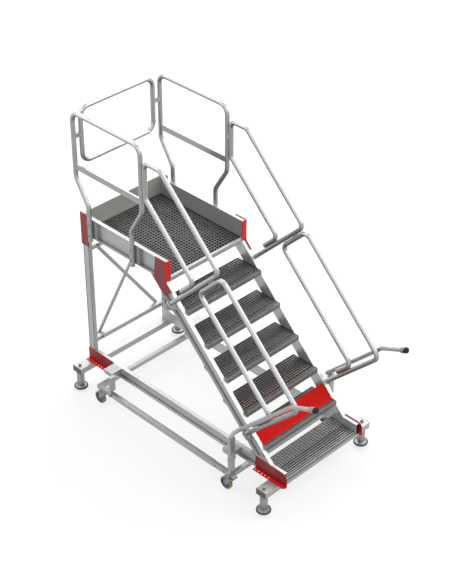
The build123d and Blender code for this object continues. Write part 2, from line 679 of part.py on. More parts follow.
def link(y, top):
    """An upright from the chassis pin to a height, drilled for the bracket's pin."""
    pin_y = y + OVER_CENTRE
    depth = (y - LINK_DEPTH / 2, y + LINK_DEPTH / 2)
    body = block((LINK_INNER, LINK_OUTER), depth, (BAR_AXIS + LINK_SWING_ROOM, top))
    cheek = (LINK_OUTER - LINK_CHEEK, LINK_OUTER)
    body += block(cheek, depth, (BAR_AXIS, BAR_AXIS + LINK_SWING_ROOM))
    body += cross_rod(LINK_END_RADIUS, cheek, pin_y, BAR_AXIS)
    body += cross_rod(PIN_RADIUS, (BAR_X - BAR_WIDTH / 2 + CHEEK_GAP, LINK_OUTER), pin_y, BAR_AXIS)
    body += cross_rod(PIN_HEAD_RADIUS, (LINK_OUTER, LINK_OUTER + PIN_HEAD), pin_y, BAR_AXIS)
    return body - cross_rod(PIN_RADIUS + PIN_CLEARANCE, (LINK_INNER - 1, LINK_OUTER + 1), y, PIVOT_Z)


def rear_link():
    return link(PIVOT_REAR, PIVOT_Z + LINK_ABOVE_PIVOT)


def grip_axis():
    """The point where the lever's tube ends, and its direction in Y and Z."""
    knee_z = LEVER_ELBOW_Z + PIVOT_FRONT - LEVER_KNEE_Y
    angle = math.radians(LEVER_END_ANGLE)
    end_z = knee_z + (LEVER_KNEE_Y - LEVER_END_Y) * math.tan(angle)
    return LEVER_END_Y, end_z, knee_z


def lever():
    """A front link that carries on as a bent tube, up and out past the stair."""
    end_y, end_z, knee_z = grip_axis()
    points = [(BAR_X, PIVOT_FRONT, LEVER_ELBOW_Z - 2 * LEVER_BEND),
              (BAR_X, PIVOT_FRONT, LEVER_ELBOW_Z), (LEVER_X, PIVOT_FRONT, LEVER_ELBOW_Z),
              (LEVER_X, LEVER_KNEE_Y, knee_z), (LEVER_X, end_y, end_z)]
    arm = tube(points, LEVER_TUBE_RADIUS, [LEVER_BEND, LEVER_BEND, LEVER_KNEE_BEND])
    return arm + link(PIVOT_FRONT, LEVER_ELBOW_Z - LEVER_BEND)


def lever_grips():
    """Closed knobs on the ends of both levers."""
    end_y, end_z, knee_z = grip_axis()
    ends_up = (Align.CENTER, Align.CENTER, Align.MAX)
    knob = Cylinder(GRIP_RADIUS, GRIP_LENGTH, align=ends_up)
    knob = fillet(knob.edges(), GRIP_ROUND)
    knob -= Pos(0, 0, -GRIP_END) * Cylinder(LEVER_TUBE_RADIUS + SEAT_GAP, GRIP_LENGTH, align=ends_up)
    knob = Pos(0, 0, GRIP_END + SEAT_GAP) * knob
    return both_sides(Pos(LEVER_X, end_y, end_z) * Rot(90 - LEVER_END_ANGLE, 0, 0) * knob)


def chassis_bar():
    """One long bar, sleeved between its link pins and bored for them."""
    half = BAR_WIDTH / 2
    height = (BAR_BOTTOM, BAR_BOTTOM + BAR_HEIGHT)
    bar = block((BAR_X - half, BAR_X + half), (BAR_FRONT, CROSSBAR_REAR), height)
    half += SLEEVE_WALL
    sleeve = (PIVOT_FRONT + SLEEVE_BEHIND_PIVOT, PIVOT_REAR - SLEEVE_BEFORE_PIVOT)
    bar += block((BAR_X - half, BAR_X + half), sleeve, (height[0] - SLEEVE_WALL, height[1] + SLEEVE_WALL))
    for y in (PIVOT_FRONT, PIVOT_REAR):
        bar -= cross_rod(PIN_RADIUS + PIN_CLEARANCE, (BAR_X - half, BAR_X + half), y + OVER_CENTRE, BAR_AXIS)
    return bar


def chassis_crossbars():
    """The front bar between the long bars, and the rear one across their ends."""
    height = (BAR_BOTTOM, BAR_BOTTOM + BAR_HEIGHT)
    inner = BAR_X - BAR_WIDTH / 2
    outer = BAR_X + BAR_WIDTH / 2
    front = block((-inner, inner), (CROSSBAR_FRONT, CROSSBAR_FRONT + BAR_WIDTH), height)
    rear = block((-outer, outer), (CROSSBAR_REAR, CROSSBAR_REAR + BAR_WIDTH), height)
    return Compound([front, rear])


def castor_plates():
    """Top plates under the chassis, each with a turning race below it."""
    plates = []
    for y in (STEM_FRONT, STEM_REAR):
        for side in SIDES.values():
            x = side * BAR_X
            plate = Pos(x, y, BAR_BOTTOM - CASTOR_PLATE / 2) * Box(
                CASTOR_PLATE_WIDTH, CASTOR_PLATE_LENGTH, CASTOR_PLATE)
            plate = fillet(plate.edges().filter_by(Axis.Z), CASTOR_PLATE_CORNER)
            low = BAR_BOTTOM - CASTOR_PLATE - RACE_HEIGHT
            plates.append(plate + upright_rod(RACE_RADIUS, x, y, (low, BAR_BOTTOM - CASTOR_PLATE)))
    return Compound(plates)


def castor_fork(x, y):
    """A forked bracket with its axle, behind the upright line that it turns on."""
    inner = WHEEL_WIDTH / 2 + FORK_GAP
    outer = inner + FORK_SHEET
    crown = (CROWN_TOP - FORK_SHEET, CROWN_TOP)
    half = FORK_HALF_LENGTH
    axle = (y + TRAIL, AXLE_Z)
    fork = block((x - outer, x + outer), (y - half, y + half), crown)
    outline = [(y - half, crown[1]), (y + half, crown[1]),
               (axle[0] + FORK_BOSS, axle[1]), (axle[0] - FORK_BOSS * 0.8, axle[1] - FORK_BOSS * 0.6)]
    for side in SIDES.values():
        limits = sorted((x + side * inner, x + side * outer))
        fork += side_plate(outline, limits)
        fork += cross_rod(FORK_BOSS, limits, *axle)
    return fork + cross_rod(AXLE_RADIUS, (x - outer - AXLE_END, x + outer + AXLE_END), *axle)


def ring(outer, inner, x, width, y, z):
    limits = (x - width / 2, x + width / 2)
    return cross_rod(outer, limits, y, z) - cross_rod(inner, limits, y, z)


def wheel(x, y):
    """A disc wheel with a thin web between its hub and its rim."""
    rim = WHEEL_RADIUS - TYRE_DEPTH - SEAT_GAP
    axle = (y + TRAIL, AXLE_Z)
    body = ring(rim, rim - RIM_WALL, x, WHEEL_WIDTH - 2 * RIM_INSET, *axle)
    body += ring(rim - RIM_WALL / 2, AXLE_RADIUS + SEAT_GAP, x, WEB_THICKNESS, *axle)
    return body + ring(HUB_RADIUS, AXLE_RADIUS + SEAT_GAP, x, WHEEL_WIDTH, *axle)


def tyre(x, y):
    """A solid tread ring with rounded shoulders."""
    band = ring(WHEEL_RADIUS, WHEEL_RADIUS - TYRE_DEPTH, x, WHEEL_WIDTH, y + TRAIL, AXLE_Z)
    shoulders = band.edges().filter_by(GeomType.CIRCLE).group_by(SortBy.RADIUS)[-1]
    return fillet(shoulders, TYRE_SHOULDER)


def build():
    """Every piece by name, in the drawing's own position."""
    parts = {}
    for end, y in ENDS.items():
        parts["foot_beam_" + end] = foot_beam(y)
    parts["beam_end_caps"] = beam_end_caps()
    parts["levelling_feet"] = levelling_feet()
    pairs = {"base_rail": base_rail, "stringer": stringer, "rear_post": rear_post,
             "side_panel": side_panel, "guardrail": guardrail, "handrail_lower": handrail_lower,
             "handrail_upper": handrail_upper, "lever": lever, "chassis_bar": chassis_bar}
    for name, make in pairs.items():
        piece = make()
        for side in SIDES:
            parts[name + "_" + side] = mirrored(piece, side)
    for number in range(1, TREAD_COUNT + 1):
        parts["tread_" + str(number)] = tread(number)
    parts["bottom_step"] = bottom_step()
    parts["platform_deck"] = platform_deck()
    parts["platform_nosing"] = platform_nosing()
    parts["rear_toe_board"] = rear_toe_board()
    parts["step_blocker"] = step_blocker()
    parts["rear_gate"] = rear_gate()
    parts["rail_clamps"] = rail_clamps()
    parts["guardrail_pads"] = guardrail_pads()
    parts["handrail_brackets"] = handrail_brackets()
    parts["rear_ties"] = rear_ties()
    for number, name in enumerate(("rear_brace_a", "rear_brace_b")):
        parts[name] = rear_brace(number)
    parts["rear_upper_gussets"] = rear_upper_gussets()
    parts["front_upper_gussets"] = front_upper_gussets()
    parts["rear_lower_brackets"] = rear_lower_brackets()
    parts["front_lower_brackets"] = front_lower_brackets()
    parts["pivot_brackets"] = pivot_brackets()
    parts["rear_links"] = both_sides(rear_link())
    parts["lever_grips"] = lever_grips()
    parts["chassis_crossbars"] = chassis_crossbars()
    parts["castor_plates"] = castor_plates()
    for end, y in (("front", STEM_FRONT), ("rear", STEM_REAR)):
        for side, sign in SIDES.items():
            place = "_" + end + "_" + side
            parts["castor_fork" + place] = castor_fork(sign * BAR_X, y)
            parts["wheel" + place] = wheel(sign * BAR_X, y)
            parts["tyre" + place] = tyre(sign * BAR_X, y)
    return parts


pieces = build()
whole = Compound(list(pieces.values())).bounding_box()
shift = (0, -(whole.min.Y + whole.max.Y) / 2, FOOT_CLEARANCE)
os.makedirs("parts", exist_ok=True)
for name, piece in pieces.items():
    export_step(Pos(*shift) * piece, "parts/" + name + ".step")
print("pieces", len(pieces), "shift", [round(value, 3) for value in shift])
print("size", [round(value, 1) for value in (whole.size.X, whole.size.Y, whole.size.Z)])
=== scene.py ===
# %% [markdown]
# # A mobile platform ladder
# This lesson dresses the CAD model of an aluminium ladder with a railed platform.
# The CAD pieces keep their shapes, and Blender adds their finishes, the gratings' fine bars,
# the bolts and the threads. The first cell loads the model and gives a helper that measures a piece's
# box.

# %% Load the model
import math

import bpy
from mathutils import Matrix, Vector


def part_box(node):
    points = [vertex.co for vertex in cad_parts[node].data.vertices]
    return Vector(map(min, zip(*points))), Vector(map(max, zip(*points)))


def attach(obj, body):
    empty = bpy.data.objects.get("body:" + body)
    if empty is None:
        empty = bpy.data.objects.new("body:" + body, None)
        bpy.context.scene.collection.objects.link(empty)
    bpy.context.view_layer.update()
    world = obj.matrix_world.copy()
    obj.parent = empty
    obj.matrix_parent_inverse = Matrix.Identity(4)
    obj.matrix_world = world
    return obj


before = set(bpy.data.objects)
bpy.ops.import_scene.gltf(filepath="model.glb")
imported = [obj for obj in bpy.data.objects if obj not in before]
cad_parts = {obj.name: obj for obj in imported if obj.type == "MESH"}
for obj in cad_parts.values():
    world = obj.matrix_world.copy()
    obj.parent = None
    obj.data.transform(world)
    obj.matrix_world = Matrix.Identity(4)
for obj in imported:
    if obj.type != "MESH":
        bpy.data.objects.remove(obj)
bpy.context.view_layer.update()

# %% [markdown]
# The camera stands where the photographer's stood: to the left of the stair's foot, looking down
# at the platform. Its place is counted from the front feet, so it follows them if they move.

# %% Camera
EYE_X, EYE_BEFORE_FEET, EYE_HEIGHT = -6.7996, 5.86028, 8.05428
EYE_PITCH, EYE_HEADING = 0.61, 0.7821
LENS, SENSOR, FAR_CLIP = 119.74, 36, 60


def middle(node):
    low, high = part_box(node)
    return (low + high) / 2


front_feet = middle("foot_beam_front").y
under_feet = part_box("levelling_feet")[0].z
eye = bpy.data.objects.new("eye", bpy.data.cameras.new("eye"))
bpy.context.scene.collection.objects.link(eye)
bpy.context.scene.camera = eye
eye.location = (EYE_X, front_feet - EYE_BEFORE_FEET, EYE_HEIGHT)
eye.rotation_euler = (math.pi / 2 - EYE_PITCH, 0, -EYE_HEADING)
eye.data.sensor_fit = "HORIZONTAL"
eye.data.sensor_width = SENSOR
eye.data.lens = LENS
eye.data.clip_end = FAR_CLIP
print("camera", [round(value, 3) for value in eye.location])

# %% [markdown]
# Every look in this lesson is a small tree of nodes. These helpers make one node each, with its
# inputs set to a value or linked to another node's output.

# %% Node helpers
def add_node(tree, kind, values=None, **settings):
    """A shader or geometry node, with its inputs set or linked by name or number."""
    made = tree.nodes.new(kind)
    for name, value in settings.items():
        setattr(made, name, value)
    for name, value in (values or {}).items():
        if isinstance(value, bpy.types.NodeSocket):
            tree.links.new(value, made.inputs[name])
        else:
            made.inputs[name].default_value = value
    return made


def colour(red, green, blue):
    return (red, green, blue, 1.0)


def grey(value):
    return colour(value, value, value)


def calculate(tree, operation, *values):
    return add_node(tree, "ShaderNodeMath", dict(enumerate(values)), operation=operation).outputs[0]


def vector_math(tree, operation, *values):
    return add_node(tree, "ShaderNodeVectorMath", dict(enumerate(values)), operation=operation)


def rescale(tree, value, low, high, to_low=0.0, to_high=1.0):
    """Maps one range of a value onto another, held at both ends."""
    ends = {"Value": value, 1: low, 2: high, 3: to_low, 4: to_high}
    return add_node(tree, "ShaderNodeMapRange", ends).outputs[0]


def blend(tree, share, first, second):
    """A mix of two colours, which goes from the first to the second as the share rises."""
    ends = {0: share, 6: first, 7: second}
    return add_node(tree, "ShaderNodeMix", ends, data_type="RGBA").outputs[2]


def noise(tree, place, scale, detail, roughness=0.5):
    values = {0: place, "Scale": scale, "Detail": detail, "Roughness": roughness}
    return add_node(tree, "ShaderNodeTexNoise", values).outputs[0]


def object_place(tree):
    return add_node(tree, "ShaderNodeTexCoord").outputs["Object"]


def seen(tree, plain, bright):
    """Shows one shader to camera, mirror and glass rays, and another to all the rest."""
    path = add_node(tree, "ShaderNodeLightPath").outputs
    mirror = calculate(tree, "MAXIMUM", path["Is Camera Ray"], path["Is Glossy Ray"])
    clear = calculate(tree, "MAXIMUM", mirror, path["Is Transmission Ray"])
    return add_node(tree, "ShaderNodeMixShader", {0: clear, 1: plain, 2: bright}).outputs[0]


print("node helpers ready")

# %% [markdown]
# A product picture has a white ground that still shows a soft shadow. Camera, mirror and glass
# rays see plain white, and all other rays see a sky that is brightest overhead.

# %% Sky
SKY_START, SKY_END, SKY_STRENGTH = 0.25, 0.95, 0.9
HORIZON = colour(0.10, 0.105, 0.105)

sky = bpy.data.worlds.new("studio_sky")
bpy.context.scene.world = sky
sky.use_nodes = True
tree = sky.node_tree
tree.nodes.clear()
direction = add_node(tree, "ShaderNodeTexCoord").outputs["Generated"]
height = add_node(tree, "ShaderNodeSeparateXYZ", {0: direction}).outputs["Z"]
shade = blend(tree, rescale(tree, height, SKY_START, SKY_END), HORIZON, grey(1.0))
studio = add_node(tree, "ShaderNodeBackground", {0: shade, 1: SKY_STRENGTH})
white = add_node(tree, "ShaderNodeBackground", {0: grey(1.0), 1: 1.0})
add_node(tree, "ShaderNodeOutputWorld", {0: seen(tree, studio.outputs[0], white.outputs[0])})
bpy.context.scene.view_settings.view_transform = "Standard"
print("sky ready")

# %% [markdown]
# The floor is pale and glows a little, more towards its edges, because the lamps reach them less.
# Its own colour still darkens where the ladder stands in the light.

# %% Floor
FLOOR_HALF = 20
GLOW_STARTS, GLOW_ENDS, GLOW_NEAR, GLOW_FAR = 1.5, 6.0, 0.74, 0.96
FLOOR_DARK, FLOOR_LIGHT, FLOOR_BOUNCE, FLOOR_SPOTS = 0.25, 0.27, 0.38, 3.0


def flat_sheet(name, half):
    mesh = bpy.data.meshes.new(name)
    corners = [(-half, -half, 0), (half, -half, 0), (half, half, 0), (-half, half, 0)]
    mesh.from_pydata(corners, [], [(0, 1, 2, 3)])
    made = bpy.data.objects.new(name, mesh)
    bpy.context.scene.collection.objects.link(made)
    return made


floor = flat_sheet("floor", FLOOR_HALF)
ground = bpy.data.materials.new("studio_floor")
ground.use_nodes = True
tree = ground.node_tree
tree.nodes.clear()
place = object_place(tree)
far = vector_math(tree, "LENGTH", place).outputs["Value"]
glowing = rescale(tree, far, GLOW_STARTS, GLOW_ENDS, GLOW_NEAR, GLOW_FAR)
tone = blend(tree, noise(tree, place, FLOOR_SPOTS, 4.0), grey(FLOOR_DARK), grey(FLOOR_LIGHT))
pale = add_node(tree, "ShaderNodeBsdfDiffuse", {0: tone})
glow = add_node(tree, "ShaderNodeEmission", {0: grey(1.0), 1: glowing})
lit = add_node(tree, "ShaderNodeAddShader", {0: pale.outputs[0], 1: glow.outputs[0]})
matt = add_node(tree, "ShaderNodeBsdfDiffuse", {0: grey(FLOOR_BOUNCE)})
add_node(tree, "ShaderNodeOutputMaterial", {0: seen(tree, matt.outputs[0], lit.outputs[0])})
floor.data.materials.append(ground)
print("floor", floor.dimensions[:2])

# %% [markdown]
# Four large square panels of light stand round the ladder at the same rise. The two on its right
# are the brighter ones, so the left sides that face the camera are in half shade.

# %% Lamps
LAMP_RISE, LAMP_SIZE, LAMP_FAR, LAMP_AIM = 38.0, 5.0, 6.0, 1.2
LAMPS = ((135.0, 200), (45.0, 180), (225.0, 100), (315.0, 45))  # turn from the front, power


def soft_lamp(name, turn, power):
    """A square panel of light at a compass turn in degrees, facing the ladder."""
    lamp = bpy.data.lights.new(name, "AREA")
    lamp.size = LAMP_SIZE
    lamp.energy = power
    made = bpy.data.objects.new(name, lamp)
    bpy.context.scene.collection.objects.link(made)
    turn, rise = math.radians(turn), math.radians(LAMP_RISE)
    way = Vector((math.cos(rise) * math.sin(turn), -math.cos(rise) * math.cos(turn), math.sin(rise)))
    made.location = Vector((0, 0, LAMP_AIM)) + LAMP_FAR * way
    made.rotation_euler = way.to_track_quat("Z", "Y").to_euler()


for number, (turn, power) in enumerate(LAMPS):
    soft_lamp("panel_" + str(number), turn, power)
print("lamps", len(LAMPS))

# %% [markdown]
# Most of the ladder is extruded aluminium. Its dies leave fine lines along the length of each
# piece, and the anodised skin varies a little from place to place. Both come from noise: one
# stretched hard along the piece for the lines, one broad and even for the skin. The noise is read
# in object space, in metres, so the lines stay the same size on every piece. Shade is painted
# into the inner corners of the channels, which the Ambient Occlusion node finds.

# %% Metal finishes
LINE_SCALE, LINE_DEPTH = 420.0, 0.0003
CLOUD_SCALE, CLOUD_DETAIL, CLOUD_ROUGHNESS, CLOUD_SHARE = 5.0, 6.0, 0.62, 0.75
SPECK_SCALE = 90.0
DARK_SKIN, LIGHT_SKIN = 0.55, 1.15
DULL_SKIN, GLOSSY_SKIN, DULLER, GLOSSIER = 0.5, 1.2, 0.05, 0.04
SHUT_IN, OPEN_AIR, CORNER_SAMPLES = 0.46, 0.72, 6
finishes = {}


def new_finish(name):
    made = bpy.data.materials.new(name)
    made.use_nodes = True
    finishes[name] = made
    return made, made.node_tree, made.node_tree.nodes["Principled BSDF"]


def with_painted_corner_shade(tree, tint, dark, share, reach):
    """A colour darkened by painted shade to a share of its dark tone in the piece's own inner corners."""
    corner = add_node(tree, "ShaderNodeAmbientOcclusion", {"Distance": reach}, samples=CORNER_SAMPLES,
                      only_local=True)
    free = rescale(tree, corner.outputs["AO"], SHUT_IN, OPEN_AIR)
    return blend(tree, free, colour(*[share * value for value in dark]), tint)


def add_bump(tree, shader, strength, depth, height):
    bump = add_node(tree, "ShaderNodeBump", {"Strength": strength, "Distance": depth, "Height": height})
    tree.links.new(bump.outputs[0], shader.inputs["Normal"])


def metal(name, light, dark, rough=0.36, stretch=(1, 1, 1), turn=0.0, lines=0.35, metallic=0.5,
          corners=0.10, reach=0.020):
    """A drawn or plated metal with fine lines along one direction and a cloudy skin."""
    made, tree, shader = new_finish(name)
    place = object_place(tree)
    turned = add_node(tree, "ShaderNodeMapping", {0: place, 2: (turn, 0, 0)}).outputs[0]
    drawn_out = add_node(tree, "ShaderNodeMapping", {0: turned, 3: stretch}).outputs[0]
    cloud = noise(tree, place, CLOUD_SCALE, CLOUD_DETAIL, CLOUD_ROUGHNESS)
    speck = noise(tree, place, SPECK_SCALE, 2.0)
    skin = calculate(tree, "MULTIPLY_ADD", cloud, CLOUD_SHARE, speck)
    tint = blend(tree, rescale(tree, skin, DARK_SKIN, LIGHT_SKIN), colour(*dark), colour(*light))
    # Painted shade in the piece's inner corners.
    if corners:
        tint = with_painted_corner_shade(tree, tint, dark, corners, reach)
    tree.links.new(tint, shader.inputs["Base Color"])
    gloss = rescale(tree, skin, DULL_SKIN, GLOSSY_SKIN, rough + DULLER, rough - GLOSSIER)
    tree.links.new(gloss, shader.inputs["Roughness"])
    shader.inputs["Metallic"].default_value = metallic
    if lines:
        add_bump(tree, shader, lines, LINE_DEPTH, noise(tree, drawn_out, LINE_SCALE, 3.0))
    return made


print("metal recipe ready")

# %% [markdown]
# Every metal of the ladder comes from this one recipe. The stringers and base rails are painted
# paler than the rest, as painted light on their shaded webs. The tubes are smooth, and bolts and
# the painted highlights on the bar tops are steel. A mapping stretches the lines along each
# extrusion, and for the stringers it is turned to the stair's 45 degrees.

# %% The ladder's metals
ALONG_X, ALONG_Y, UPRIGHT = (0.02, 1, 1), (1, 0.02, 1), (1, 1, 0.02)
LIGHT, SHADY = (0.475, 0.49, 0.48), (0.42, 0.435, 0.425)
# Paler tones for the stringers and base rails: painted light on webs that lie in shade.
PAINTED_LIT_LIGHT, PAINTED_LIT_SHADY = (0.63, 0.645, 0.635), (0.57, 0.585, 0.575)
# The stringers and rails get deeper painted shade in their channels' corners.
DEEP_CORNER_SHADE = {"corners": 0.05, "reach": 0.028}

metal("aluminium_across", LIGHT, SHADY, stretch=ALONG_X)
metal("aluminium_along", LIGHT, SHADY, stretch=ALONG_Y)
metal("aluminium_upright", LIGHT, SHADY, stretch=UPRIGHT)
metal("post_aluminium_shade_lines", LIGHT, SHADY, stretch=UPRIGHT)
metal("stringer_aluminium_painted_lit", PAINTED_LIT_LIGHT, PAINTED_LIT_SHADY, stretch=ALONG_Y, turn=-math.pi / 4, **DEEP_CORNER_SHADE)
metal("rail_aluminium_painted_lit", PAINTED_LIT_LIGHT, PAINTED_LIT_SHADY, stretch=ALONG_Y, metallic=0.4, **DEEP_CORNER_SHADE)
# The tubes get painted shade on their undersides in the two-tone cell.
metal("tube_aluminium_painted_shade", (0.62, 0.63, 0.63), (0.58, 0.59, 0.59), 0.2, lines=0.0, metallic=0.45,
      corners=0.0)
# The toe board's tone is painted paler, as painted light on a face in shade. Its lines are the sheet's
# own.
metal("toe_aluminium_painted_lit", (0.62, 0.62, 0.57), (0.52, 0.52, 0.48), 0.4, ALONG_X, lines=0.5, metallic=0.3,
      corners=0.0)
metal("plate_aluminium", (0.45, 0.465, 0.455), (0.39, 0.40, 0.395), 0.4, lines=0.3)
metal("zinc_plate", (0.33, 0.33, 0.37), (0.26, 0.26, 0.29), lines=0.25)
metal("foot_metal", (0.38, 0.39, 0.375), (0.32, 0.33, 0.31), 0.38, lines=0.25)
metal("bolt_steel", (0.26, 0.27, 0.27), (0.16, 0.17, 0.17), 0.33, lines=0.2, corners=0.0)
# Painted highlight for the lit tops of the treads' bars and teeth.
metal("steel_painted_lit_tops", (0.36, 0.365, 0.36), (0.26, 0.265, 0.26), 0.42, lines=0.3, corners=0.0)
# Painted light: a paler tone for the bottom step's ribs and bar tops.
metal("bottom_steel_painted_lit", (0.44, 0.45, 0.44), (0.33, 0.34, 0.33), 0.42, lines=0.3, corners=0.0)
# A pale zinc tone. On the bottom step's strands and the treads' end plates it is painted light.
metal("pale_zinc", (0.66, 0.67, 0.66), (0.54, 0.55, 0.54), 0.42, lines=0.3, corners=0.0)
print("metals", sorted(finishes))

# %% [markdown]
# The red plates are powder coated. The coat has a faint orange-peel texture and a soft gloss, and
# it dulls a little in patches. The gratings are dark pressed steel, dull and slightly mottled.
# Plastic and rubber use the same recipe with a finer texture.

# %% Coats, plastics and rubber
PATCH_SCALE, PATCH_DETAIL, PATCH_ROUGHNESS = 9.0, 7.0, 0.6
DARK_PATCH, LIGHT_PATCH = 0.35, 0.65
SHINY_PATCH, DULL_PATCH, SHINIER, LESS_SHINY = 0.3, 0.7, 0.06, 0.08
CORNER_REACH, PEEL_STRENGTH = 0.03, 0.4


def coat(name, light, dark, rough=0.5, peel=600.0, depth=0.0003, shine=0.5, metallic=0.0, corners=0.0):
    """A coloured skin with a small all-over texture and slow changes of tone."""
    made, tree, shader = new_finish(name)
    place = object_place(tree)
    cloud = noise(tree, place, PATCH_SCALE, PATCH_DETAIL, PATCH_ROUGHNESS)
    tint = blend(tree, rescale(tree, cloud, DARK_PATCH, LIGHT_PATCH), colour(*dark), colour(*light))
    # Painted shade in the inner corners, as on the metals.
    if corners:
        tint = with_painted_corner_shade(tree, tint, dark, corners, CORNER_REACH)
    tree.links.new(tint, shader.inputs["Base Color"])
    dull = rescale(tree, cloud, SHINY_PATCH, DULL_PATCH, rough - SHINIER, rough + LESS_SHINY)
    tree.links.new(dull, shader.inputs["Roughness"])
    shader.inputs["Metallic"].default_value = metallic
    shader.inputs["Specular IOR Level"].default_value = shine
    add_bump(tree, shader, PEEL_STRENGTH, depth, noise(tree, place, peel, 2.0))
    return made


# Powder coat and plastic get painted shade in their inner corners, and so does the wheel nylon below.
POWDER = {"peel": 420.0, "corners": 0.5}
PLASTIC = {"peel": 900.0, "depth": 0.0002, "corners": 0.5}
# The red coat's darker tone shows on its flat sides. Its folds get painted light in the two-tone cell.
coat("red_coat_painted_lit_folds", (0.32, 0.012, 0.012), (0.25, 0.009, 0.009), 0.4, **POWDER)
coat("blocker_red", (0.70, 0.009, 0.006), (0.62, 0.007, 0.005), shine=0.08, **POWDER)
coat("tread_steel", (0.235, 0.232, 0.229), (0.175, 0.173, 0.171), metallic=0.35)
# Painted red reflection of the red sheet below, for the fourth tread.
coat("tread_painted_red_reflection", (0.24, 0.038, 0.035), (0.17, 0.027, 0.025), metallic=0.3)
# Painted highlight for the lit tops of the deck's bars.
coat("deck_painted_lit_tops", (0.195, 0.195, 0.192), (0.145, 0.145, 0.143), metallic=0.35)
coat("deck_steel", (0.085, 0.085, 0.084), (0.055, 0.055, 0.054), metallic=0.3)
coat("dark_steel", (0.050, 0.049, 0.049), (0.030, 0.030, 0.030), 0.6, 700.0, shine=0.3)
coat("cap_plastic", (0.13, 0.14, 0.13), (0.095, 0.105, 0.095), **PLASTIC)
coat("grip_rubber", (0.016, 0.016, 0.017), (0.010, 0.010, 0.011), shine=0.2, **PLASTIC)
coat("wheel_nylon", (0.23, 0.225, 0.29), (0.18, 0.175, 0.225), 0.42, 500.0, 0.0002, corners=0.5)
print("finishes", len(finishes))

# %% [markdown]
# Some pieces show two tones. Painting them by hand would need a picture for each, so the tone
# changes where a measure passes a limit: a place along one axis, such as the height of the foot
# pads, or the way the surface faces. The red plates' folded edges are painted brighter than their
# flat sides, as painted light, and the tubes get painted shade where they face down.

# %% A second tone on part of a piece
LOWEST, HIGHEST = -10.0, 10.0


def second_tone(name, measure, low, high, tone, metallic, rough):
    """Repaints a finish where a measure lies between two limits."""
    tree = finishes[name].node_tree
    shader = tree.nodes["Principled BSDF"]
    above = calculate(tree, "GREATER_THAN", measure, low)
    inside = calculate(tree, "MULTIPLY", above, calculate(tree, "LESS_THAN", measure, high))
    old = shader.inputs["Base Color"].links[0].from_socket
    tree.links.new(blend(tree, inside, old, colour(*tone)), shader.inputs["Base Color"])
    for socket, value in (("Metallic", metallic), ("Roughness", rough)):
        links = shader.inputs[socket].links
        old = links[0].from_socket if links else shader.inputs[socket].default_value
        mixed = add_node(tree, "ShaderNodeMix", {0: inside, 2: old, 3: value}, data_type="FLOAT")
        tree.links.new(mixed.outputs[0], shader.inputs[socket])


def coordinate(name, axis):
    """Where the surface is along an axis."""
    tree = finishes[name].node_tree
    return add_node(tree, "ShaderNodeSeparateXYZ", {0: object_place(tree)}).outputs[axis]


def facing_along(name, axis):
    """How far the surface faces along an axis, from -1 to 1."""
    tree = finishes[name].node_tree
    normal = add_node(tree, "ShaderNodeNewGeometry").outputs["Normal"]
    return add_node(tree, "ShaderNodeSeparateXYZ", {0: normal}).outputs[axis]


def size_of(name, measure):
    return calculate(finishes[name].node_tree, "ABSOLUTE", measure)


def painted_shade_below(name, low, high, under_shade):
    """Paints shade on a finish where its surface faces down."""
    tree = finishes[name].node_tree
    shader = tree.nodes["Principled BSDF"]
    unshaded = rescale(tree, facing_along(name, "Z"), low, high)
    old = shader.inputs["Base Color"].links[0].from_socket
    tree.links.new(blend(tree, unshaded, colour(*under_shade), old), shader.inputs["Base Color"])


print("two-tone helpers ready")

# %% [markdown]
# The fourth tread has a painted red reflection of the red sheet below it, except on its nose. The
# foot pads are black under grey legs, the treads end in paler plates, the levers' rubber stops at a
# metal neck, and the posts have two lines of painted shade in each side.

# %% Two-tone finishes
NOSE, PAD_THICKNESS, END_PLATE, RUBBER_END = 0.045, 0.0105, 0.0031, 0.034
SHADE_LINE, SHADE_LINE_FROM_FRONT, SHADE_LINE_FROM_REAR = 0.007, 0.0015, 0.0085
FOLD_FACING, SHADE_FROM, SHADE_TO = 0.7, 0.50, -0.60
PAINTED_LIT_RED, NOSE_STEEL, UNDERSIDE_SHADE = (0.85, 0.008, 0.005), (0.17, 0.168, 0.165), (0.10, 0.105, 0.105)
BLACK_PAD, PLATE_STEEL = (0.035, 0.04, 0.037), (0.30, 0.31, 0.30)
NECK_METAL, PAINTED_LINE_SHADE = (0.30, 0.31, 0.31), (0.05, 0.06, 0.06)

# Painted light: the red faces that don't face sideways, the folds, are painted brighter.
sideways = size_of("red_coat_painted_lit_folds", facing_along("red_coat_painted_lit_folds", "X"))
second_tone("red_coat_painted_lit_folds", sideways, LOWEST, FOLD_FACING, PAINTED_LIT_RED, 0.0, 0.5)
nose_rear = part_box("tread_4")[0].y + NOSE
second_tone("tread_painted_red_reflection", coordinate("tread_painted_red_reflection", "Y"), LOWEST, nose_rear, NOSE_STEEL, 0.35, 0.5)
# Painted shade on the tubes' undersides.
painted_shade_below("tube_aluminium_painted_shade", SHADE_TO, SHADE_FROM, UNDERSIDE_SHADE)
pad_top = under_feet + PAD_THICKNESS
second_tone("foot_metal", coordinate("foot_metal", "Z"), 0.0, pad_top, BLACK_PAD, 0.0, 0.6)
from_middle = size_of("tread_steel", coordinate("tread_steel", "X"))
plate_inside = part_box("tread_1")[1].x - END_PLATE
second_tone("tread_steel", from_middle, plate_inside, HIGHEST, PLATE_STEEL, 0.6, 0.4)
rubber_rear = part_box("lever_grips")[0].y + RUBBER_END
second_tone("grip_rubber", coordinate("grip_rubber", "Y"), rubber_rear, HIGHEST, NECK_METAL, 0.6, 0.35)
